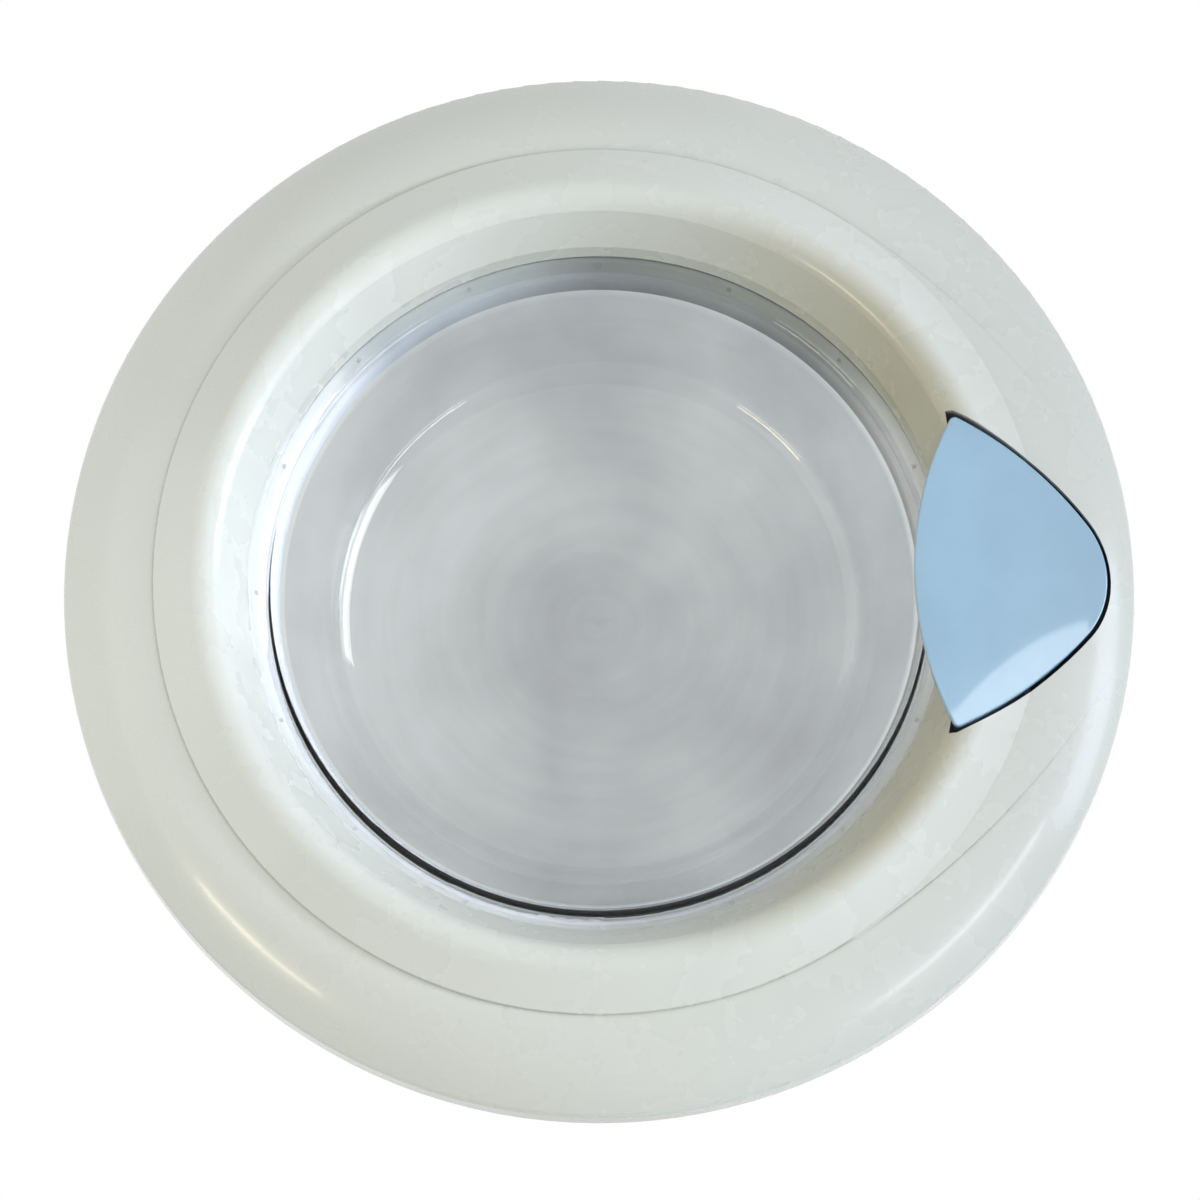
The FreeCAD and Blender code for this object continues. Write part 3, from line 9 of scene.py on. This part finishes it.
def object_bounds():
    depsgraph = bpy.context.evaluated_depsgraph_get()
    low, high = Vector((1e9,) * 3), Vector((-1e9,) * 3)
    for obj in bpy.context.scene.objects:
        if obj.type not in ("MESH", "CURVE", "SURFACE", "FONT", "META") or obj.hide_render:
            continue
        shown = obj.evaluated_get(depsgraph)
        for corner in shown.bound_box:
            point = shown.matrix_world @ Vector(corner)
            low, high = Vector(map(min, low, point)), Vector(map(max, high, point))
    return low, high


MM = 0.001

# The photograph looks up at the door from a little below it
PHOTO_WIDTH = 1200
MM_PER_PIXEL = 0.4297
CAMERA_BELOW = math.radians(14.3)
CAMERA_DISTANCE = 3.2
CAMERA_AIM = Vector((0.0004, 0, -0.0042))      # from the door's middle
CAMERA_RANGE = 0.01, 50
SENSOR = 36.0

FLOOR_HEIGHT = -1.05
FLOOR_SIZE = 9

RIM_PLANE = -0.024        # where the rim's edge lies, in depth

# Radii on the face of the door
STEP_FOOT = 191 * MM, 192 * MM
FUNNEL_EDGE = 165 * MM, 176 * MM
BOWL_NECK = 138 * MM, 140 * MM
SEAL_GAP_SHADE = 138 * MM, 143 * MM

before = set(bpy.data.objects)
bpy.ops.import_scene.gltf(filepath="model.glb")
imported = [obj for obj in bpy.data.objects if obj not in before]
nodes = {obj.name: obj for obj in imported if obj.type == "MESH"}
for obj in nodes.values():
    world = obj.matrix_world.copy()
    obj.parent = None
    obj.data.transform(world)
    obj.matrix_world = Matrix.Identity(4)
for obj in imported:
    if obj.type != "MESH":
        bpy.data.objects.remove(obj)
cad_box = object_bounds()

low, high = (Vector(corner) for corner in cad_box)
DOOR = Vector(((low.x + high.x) / 2, RIM_PLANE, (low.z + high.z) / 2))


def linear(colour):
    """An sRGB hex value as linear colour."""
    parts = [int(colour[at:at + 2], 16) / 255 for at in (0, 2, 4)]
    return [part / 12.92 if part <= 0.04045 else ((part + 0.055) / 1.055) ** 2.4
            for part in parts] + [1.0]


def per_mm(size):
    """A texture scale whose pattern repeats about every so many millimetres."""
    return 1 / (size * MM)


def feed(tree, node, inputs):
    """Gives a node's inputs their values, or links them to a node or to one of its outputs."""
    for name, value in inputs.items():
        if isinstance(value, bpy.types.Node):
            value = value.outputs[0]
        if isinstance(value, bpy.types.NodeSocket):
            tree.links.new(value, node.inputs[name])
        else:
            node.inputs[name].default_value = value


def add(tree, kind, inputs=None, stops=(), **settings):
    """Adds a shader node with its settings, its inputs and, on a ramp, its colours."""
    made = tree.nodes.new("ShaderNode" + kind)
    for name, value in settings.items():
        setattr(made, name, value)
    for extra in stops[2:]:
        made.color_ramp.elements.new(extra[0])
    for at, (place, colour) in enumerate(stops):
        made.color_ramp.elements[at].position = place
        made.color_ramp.elements[at].color = linear(colour)
    feed(tree, made, inputs or {})
    return made


def material(name, **shader):
    """An empty material with one surface shader. Words stand for the shader's sockets."""
    made = bpy.data.materials.new(name)
    made.use_nodes = True
    tree = made.node_tree
    tree.nodes.clear()
    values = {socket.replace("_", " "): value for socket, value in shader.items()}
    surface = add(tree, "BsdfPrincipled", values)
    add(tree, "OutputMaterial", {"Surface": surface})
    return made, tree, surface


def blotches(tree, size, detail=3.0, roughness=0.5, stretch=None):
    """A soft pattern on the piece, its blotches about so many millimetres across."""
    where = add(tree, "TexCoord").outputs["Object"]
    if stretch:
        where = add(tree, "Mapping", {"Vector": where, "Scale": stretch})
    return add(tree, "TexNoise", {
        "Vector": where, "Scale": per_mm(size), "Detail": detail, "Roughness": roughness,
    })


def on_face(tree, piece):
    """Where a point lies on the face of the door, seen from the middle of the piece's box:
    the flat vector, its length, and how far that is to the right and up."""
    middle = sum((Vector(corner) for corner in piece.bound_box), Vector()) / 8
    where = add(tree, "TexCoord").outputs["Object"]
    out = add(tree, "VectorMath", {0: where, 1: middle}, operation="SUBTRACT")
    flat = add(tree, "VectorMath", {0: out, 1: (1, 0, 1)}, operation="MULTIPLY")
    radius = add(tree, "VectorMath", {0: flat}, operation="LENGTH").outputs["Value"]
    parts = add(tree, "SeparateXYZ", {"Vector": flat}).outputs
    return flat, radius, parts["X"], parts["Z"]


def joined(tree, operation, *fades):
    """Values joined by a sum or a product. A fade is a value, where it starts and ends, and
    what it runs from and to."""
    whole = None
    for fade in fades:
        if isinstance(fade, tuple):
            value, (start, end), (first, last) = fade
            fade = add(tree, "MapRange", {
                "Value": value, "From Min": start, "From Max": end, "To Min": first, "To Max": last,
            })
        whole = add(tree, "Math", {0: whole, 1: fade}, operation=operation) if whole else fade
    return whole


MIDDLE = 0.3, 0.7         # the range in which nearly all of a pattern's values lie


def mottled(tree, surface, pattern, dark, light):
    """Lets the colour wander between two tones."""
    tone = add(tree, "ValToRGB", {"Fac": pattern}, [(MIDDLE[0], dark), (MIDDLE[1], light)])
    feed(tree, surface, {"Base Color": tone})


def patchy_gloss(tree, surface, pattern, smooth, rough):
    """Lets the roughness wander between two values."""
    feed(tree, surface, {"Roughness": joined(tree, "ADD", (pattern, MIDDLE, (smooth, rough)))})


def relief(tree, surface, *layers):
    """Raises the surface by patterns, each with its depth in mm and its strength, one on
    top of the other."""
    under = {}
    for pattern, depth, strength in layers:
        top = add(tree, "Bump", {
            "Height": pattern, "Distance": depth * MM, "Strength": strength, **under,
        })
        under = {"Normal": top}
    feed(tree, surface, under)


# Finishes

def glossy_white_abs():
    """Injection-moulded ABS from a polished mould: glossy, with a faint long ripple.
    Painted shade greys the foot of each step, left out on the plateau beside the handle, and a
    painted warm shade darkens the funnel's right side beside the handle."""
    made, tree, surface = material("glossy_white_ABS_moulded", Roughness=0.26, IOR=1.53,
                                   Coat_Weight=0.3, Coat_Roughness=0.1)
    tone = add(tree, "ValToRGB", {"Fac": blotches(tree, 140, 2)},
               [(0.3, "D8DDD6"), (0.7, "DDE2DB")])
    # Painted shade: occlusion greys the foot of each step, except on the plateau beside the handle
    corner = add(tree, "AmbientOcclusion", {"Distance": 2.4 * MM}, samples=6, only_local=True)
    flat, radius, right, up = on_face(tree, nodes["front_frame"])
    wiped = joined(tree, "MULTIPLY", (radius, STEP_FOOT, (1, 0)),
                   (right, (98 * MM, 110 * MM), (0, 1)))
    unshaded = add(tree, "Math", {0: corner.outputs["AO"], 1: wiped}, operation="MAXIMUM")
    crease_shade = add(tree, "ValToRGB", {"Fac": unshaded}, [(0.5, "ACAE9E"), (0.85, "FFFFFF")])
    # Painted shade: a warm grey-tan darkens the funnel's right side beside the handle
    funnel_shade_mask = joined(tree, "MULTIPLY", (radius, FUNNEL_EDGE, (1, 0)),
                     (right, (30 * MM, 125 * MM), (0, 1)))
    funnel_shade = add(tree, "ValToRGB", {"Fac": funnel_shade_mask}, [(0.0, "FFFFFF"), (1.0, "DFD8C6")])
    for layer in (crease_shade, funnel_shade):
        # sockets 6 and 7 are a colour mix's two colours, and its third output is the result
        tone = add(tree, "Mix", {0: 1, 6: tone, 7: layer}, data_type="RGBA",
                   blend_type="MULTIPLY").outputs[2]
    feed(tree, surface, {"Base Color": tone})
    patchy_gloss(tree, surface, blotches(tree, 22, 4), 0.22, 0.32)
    relief(tree, surface, (blotches(tree, 28, 1), 0.03, 0.3), (blotches(tree, 0.9, 2), 0.002, 0.4))
    return made


def satin_grey_abs():
    """Moulded ABS with a spark-eroded grain, drawn at 1.2 mm so that it shows."""
    made, tree, surface = material("satin_light_grey_ABS_moulded", Roughness=0.48, IOR=1.53)
    mottled(tree, surface, blotches(tree, 60, 3), "CDD0CE", "D5D7D4")
    relief(tree, surface, (blotches(tree, 1.2, 4, 0.6), 0.03, 0.6))
    return made


def pressed_glass():
    """Pressed soda-lime glass, greyed by the haze of use. The haze is cloudy, with faint rings
    where it was wiped, and stops at the neck. Painted light makes the tint lighter towards the
    left, the right edge and the top. Long waves come from the plunger."""
    made, tree, surface = material("pressed_soda_lime_glass", Roughness=0.02, IOR=1.5,
                                   Transmission_Weight=1.0)
    flat, radius, right, up = on_face(tree, nodes["glass_bowl"])
    slow = add(tree, "VectorMath", {0: flat, "Scale": per_mm(60)}, operation="SCALE")
    turns = add(tree, "Math", {0: radius, 1: per_mm(7)}, operation="MULTIPLY")
    lift = add(tree, "CombineXYZ", {"Y": turns})
    ringed = add(tree, "VectorMath", {0: slow, 1: lift}, operation="ADD")
    rings = add(tree, "TexNoise", {"Vector": ringed, "Scale": 1.0, "Detail": 3.0})
    neck = joined(tree, "MULTIPLY", (radius, BOWL_NECK, (0, 1)),
                  (up, (20 * MM, 110 * MM), (1, 0.3)))
    # Painted light: the tint turns lighter towards the left, the right edge and the top
    clear = joined(
        tree, "ADD",
        (blotches(tree, 70, 3), MIDDLE, (0, 0.26)),
        (rings, MIDDLE, (0, 0.06)),
        (right, (-125 * MM, -20 * MM), (0.4, 0)),
        (right, (80 * MM, 125 * MM), (0, 0.14)),
        (up, (-60 * MM, 60 * MM), (0, 0.08)),
        neck,
    )
    tone = add(tree, "ValToRGB", {"Fac": clear}, [(0.0, "999D9F"), (0.7, "D2D8D9"), (1.0, "F2F5F6")])
    feed(tree, surface, {"Base Color": tone})
    relief(tree, surface, (blotches(tree, 45, 1.5, 0.4), 0.25, 0.4))
    return made


def rubber_with_painted_gap_shade():
    """Moulded EPDM rubber: a light grey body under the glass, and painted gap shade on the
    inner lip that fades out towards the top."""
    made, tree, surface = material("grey_EPDM_rubber_painted_gap_shade", Roughness=0.6, IOR=1.5)
    flat, radius, right, up = on_face(tree, nodes["glass_seal"])
    # Painted shade: the dark inner lip stands for the shaded gap, fading out towards the top
    out_of_gap_shade = joined(tree, "ADD", (radius, SEAL_GAP_SHADE, (0, 1)), (up, (45 * MM, 110 * MM), (0, 1)))
    tone = add(tree, "ValToRGB", {"Fac": out_of_gap_shade}, [(0.38, "4A5558"), (0.46, "E2E4EA")])
    feed(tree, surface, {"Base Color": tone})
    relief(tree, surface, (blotches(tree, 0.8, 3), 0.02, 0.5))
    return made


def blue_lacquered_abs():
    """ABS sprayed light blue under clear lacquer: satin colour, soft orange peel, gloss on top."""
    made, tree, surface = material("light_blue_lacquered_ABS", Roughness=0.34, IOR=1.5,
                                   Coat_Weight=1.0, Coat_Roughness=0.06, Coat_IOR=1.9)
    mottled(tree, surface, blotches(tree, 36, 3), "7EA7C0", "86AFC7")
    relief(tree, surface, (blotches(tree, 2.2, 2, 0.4), 0.012, 0.5), (blotches(tree, 30, 1), 0.05, 0.3))
    return made


def housing_plastic_painted_shade():
    """Moulded polypropylene, matt, with a fine grain drawn at 1 mm. Its blue-black is painted
    shade of the deep gap round the handle, fading to light grey towards the finger space."""
    made, tree, surface = material("polypropylene_painted_gap_shade", Roughness=0.5, IOR=1.49)
    flat, radius, right, up = on_face(tree, nodes["handle_housing"])
    # Painted shade: dark in the deep gap, light grey towards the finger space
    depth = joined(tree, "ADD", (right, (-18 * MM, 6 * MM), (0, 1)),
                   (blotches(tree, 18, 3), MIDDLE, (-0.05, 0.05)))
    tone = add(tree, "ValToRGB", {"Fac": depth}, [(0.1, "A9ACB2"), (0.8, "1D2530")])
    feed(tree, surface, {"Base Color": tone})
    relief(tree, surface, (blotches(tree, 1.0, 4, 0.6), 0.025, 0.6))
    return made


def drawn_steel():
    """Bright drawn steel with fine turning lines round the pin."""
    made, tree, surface = material("bright_drawn_steel", Metallic=1.0, Roughness=0.28)
    lines = blotches(tree, 2.0, 3, 0.6, stretch=(0.2, 0.2, 8.0))
    mottled(tree, surface, lines, "B9BBBC", "CFD0D0")
    patchy_gloss(tree, surface, lines, 0.2, 0.38)
    relief(tree, surface, (lines, 0.006, 0.5))
    return made


def spring_wire():
    """Drawn spring steel, darker, with drawing marks."""
    made, tree, surface = material("drawn_spring_steel", Metallic=1.0, Roughness=0.35)
    mottled(tree, surface, blotches(tree, 1.2, 3), "8D8F92", "A5A7A9")
    relief(tree, surface, (blotches(tree, 0.6, 3), 0.004, 0.4))
    return made


def cast_zinc():
    """Die-cast zinc as it leaves the die: dull grey, softly mottled by the flow."""
    made, tree, surface = material("die_cast_zinc", Metallic=1.0, Roughness=0.42)
    flow = blotches(tree, 7, 5, 0.6)
    mottled(tree, surface, flow, "9A9C9F", "B3B5B7")
    patchy_gloss(tree, surface, flow, 0.36, 0.52)
    relief(tree, surface, (blotches(tree, 1.0, 4, 0.6), 0.015, 0.5))
    return made


def zinc_plated_steel():
    """Pressed steel with bright zinc plating: cool grey with a faint cloudy spangle."""
    made, tree, surface = material("zinc_plated_pressed_steel", Metallic=1.0, Roughness=0.33)
    cloud = blotches(tree, 9, 4, 0.6)
    mottled(tree, surface, cloud, "B4B8BC", "C8CACB")
    patchy_gloss(tree, surface, cloud, 0.27, 0.42)
    relief(tree, surface, (blotches(tree, 1.4, 3), 0.006, 0.5))
    return made


def blasted_aluminium():
    """Die-cast aluminium, shot-blasted: even matt grey with a fine pitted grain at 1 mm."""
    made, tree, surface = material("blasted_die_cast_aluminium", Metallic=1.0, Roughness=0.5)
    mottled(tree, surface, blotches(tree, 12, 4), "B3B5B7", "C3C5C6")
    relief(tree, surface, (blotches(tree, 1.0, 4, 0.65), 0.03, 0.7))
    return made


def natural_acetal():
    """Turned natural acetal: waxy white and slightly translucent."""
    made, tree, surface = material("natural_acetal", Roughness=0.38, IOR=1.48,
                                   Subsurface_Weight=0.15,
                                   Subsurface_Radius=(2.0 * MM, 2.0 * MM, 1.8 * MM))
    mottled(tree, surface, blotches(tree, 6, 2), "E2E2DA", "E9E9E2")
    relief(tree, surface, (blotches(tree, 0.8, 2), 0.006, 0.4))
    return made


FINISHES = {
    "front_frame": (glossy_white_abs, "front_ring"),
    "rear_frame": (satin_grey_abs, "rear_ring"),
    "glass_bowl": (pressed_glass, "bowl_glass"),
    "glass_seal": (rubber_with_painted_gap_shade, "seal_rubber"),
    "handle": (blue_lacquered_abs, "handle_blue"),
    "handle_housing": (housing_plastic_painted_shade, "housing_plastic"),
    "handle_pin": (drawn_steel, "bright_steel"),
    "hook_pin": (drawn_steel, "bright_steel"),
    "hinge_pin": (drawn_steel, "bright_steel"),
    "handle_spring": (spring_wire, "spring_steel"),
    "hook_spring": (spring_wire, "spring_steel"),
    "hinge_pin_clip": (spring_wire, "spring_steel"),
    "latch_hook": (cast_zinc, "hook_metal"),
    "latch_bracket": (zinc_plated_steel, "zinc_plate"),
    "hinge_carrier": (zinc_plated_steel, "zinc_plate"),
    "latch_screws": (zinc_plated_steel, "screw_steel"),
    "housing_screws": (zinc_plated_steel, "screw_steel"),
    "hinge_screws": (zinc_plated_steel, "screw_steel"),
    "frame_screws": (zinc_plated_steel, "screw_steel"),
    "hinge_bracket": (blasted_aluminium, "hinge_cast"),
    "hinge_bush_upper": (natural_acetal, "bush_plastic"),
    "hinge_bush_lower": (natural_acetal, "bush_plastic"),
}


def dress_nodes():
    nodes["glass_bowl"].visible_shadow = False      # light reaches what lies behind the glass
    made = {}
    for name, (finish, slot) in FINISHES.items():
        if finish not in made:
            made[finish] = finish()
        piece = nodes[name]
        piece.data.materials.clear()
        piece.data.materials.append(made[finish])


def make_world():
    """White where the camera, a gloss or the glass looks past the door, softer on matt surfaces."""
    world = bpy.data.worlds.new("studio")
    bpy.context.scene.world = world
    world.use_nodes = True
    tree = world.node_tree
    tree.nodes.clear()
    path = add(tree, "LightPath").outputs
    seen = path["Is Camera Ray"]
    for ray in ("Is Glossy Ray", "Is Transmission Ray"):
        seen = add(tree, "Math", {0: seen, 1: path[ray]}, operation="MAXIMUM")
    strength = joined(tree, "ADD", (seen, (0, 1), (0.6, 1)))
    sky = add(tree, "Background", {"Color": (1, 1, 1, 1), "Strength": strength})
    add(tree, "OutputWorld", {"Surface": sky})


def make_floor():
    """Matt paper, plain white to the camera."""
    bpy.ops.mesh.primitive_plane_add(size=FLOOR_SIZE, location=(DOOR.x, 0, FLOOR_HEIGHT))
    floor = bpy.context.object
    floor.name = "studio_floor"
    paper, tree, surface = material("matt_white_paper", Roughness=0.9, Base_Color=linear("F5F5F5"))
    white = add(tree, "Emission", {"Color": (1, 1, 1, 1)})
    seen = add(tree, "LightPath").outputs["Is Camera Ray"]
    both = add(tree, "MixShader", {0: seen, 1: surface, 2: white})
    out = next(node for node in tree.nodes if node.type == "OUTPUT_MATERIAL")
    feed(tree, out, {"Surface": both})
    floor.data.materials.append(paper)


def soft_box(name, place, size, power, colour, aim=DOOR, upright=(0, 0, 1)):
    """A rectangular lamp that faces the door, its second side along a direction."""
    light = bpy.data.lights.new(name, "AREA")
    light.shape = "RECTANGLE"
    light.size, light.size_y = size
    light.energy = power
    light.color = linear(colour)[:3]
    lamp = bpy.data.objects.new(name, light)
    bpy.context.scene.collection.objects.link(lamp)
    away = (Vector(place) - aim).normalized()
    side = Vector(upright).cross(away).normalized()
    turn = Matrix((side, away.cross(side), away)).transposed()
    lamp.matrix_world = Matrix.Translation(place) @ turn.to_4x4()
    return lamp


def light_only(lamp, name):
    """Keeps a lamp to one piece."""
    lit = bpy.data.collections.new("lit_by_" + lamp.name)
    lit.objects.link(nodes[name])
    lamp.light_linking.receiver_collection = lit


def make_lights():
    """A large window from the right, a near fill, low windows that streak the rim, a strip for
    the funnel's left side, and two sheets of light for the handle and the glass alone."""
    soft_box("window_right", place=(2.6, -0.45, 0.0), size=(0.8, 1.4), power=15.5, colour="DEE8FF")
    soft_box("fill_near_left", place=(-0.36, -0.5, 0.0), size=(0.5, 0.7), power=0.75,
             colour="FAF8F4")
    soft_box("window_low_left", place=(-0.833, -0.711, -0.773), size=(0.08, 0.5), power=2.0,
             colour="FFF0CC", upright=(0.74, 0, -0.67))
    soft_box("window_low_right", place=(1.282, -0.61, -0.741), size=(0.06, 0.8), power=1.8,
             colour="F6FAFF", upright=(0.707, 0, 0.707))
    strip = soft_box("strip_right", place=(0.85, -0.35, 0.0), size=(0.1, 0.5), power=0.2,
                     colour="EEF2FF", aim=DOOR + Vector((-0.16, -0.02, 0)))
    strip.data.spread = math.radians(26)
    strip.visible_glossy = False
    sheen = soft_box("handle_sheen", place=(1.41, -1.76, 0.0), size=(0.5, 1.65), power=6,
                     colour="F8FAFF", upright=(0.84, 0.53, 0.14))
    light_only(sheen, "handle")
    sheen = soft_box("glass_sheen", place=(1.9, -1.4, 0.15), size=(0.8, 1.5), power=26,
                     colour="FFFFFF")
    light_only(sheen, "glass_bowl")


def make_camera():
    lens = bpy.data.cameras.new("camera")
    lens.sensor_width = SENSOR
    lens.lens = SENSOR * CAMERA_DISTANCE / (PHOTO_WIDTH * MM_PER_PIXEL * MM)
    lens.clip_start, lens.clip_end = CAMERA_RANGE
    camera = bpy.data.objects.new("camera", lens)
    bpy.context.scene.collection.objects.link(camera)
    back = Vector((0, -math.cos(CAMERA_BELOW), -math.sin(CAMERA_BELOW)))
    camera.location = DOOR + CAMERA_AIM + back * CAMERA_DISTANCE
    camera.rotation_euler = (-back).to_track_quat("-Z", "Y").to_euler()
    bpy.context.scene.camera = camera


dress_nodes()
make_world()
make_floor()
make_lights()
make_camera()
bpy.context.scene.view_settings.view_transform = "Standard"
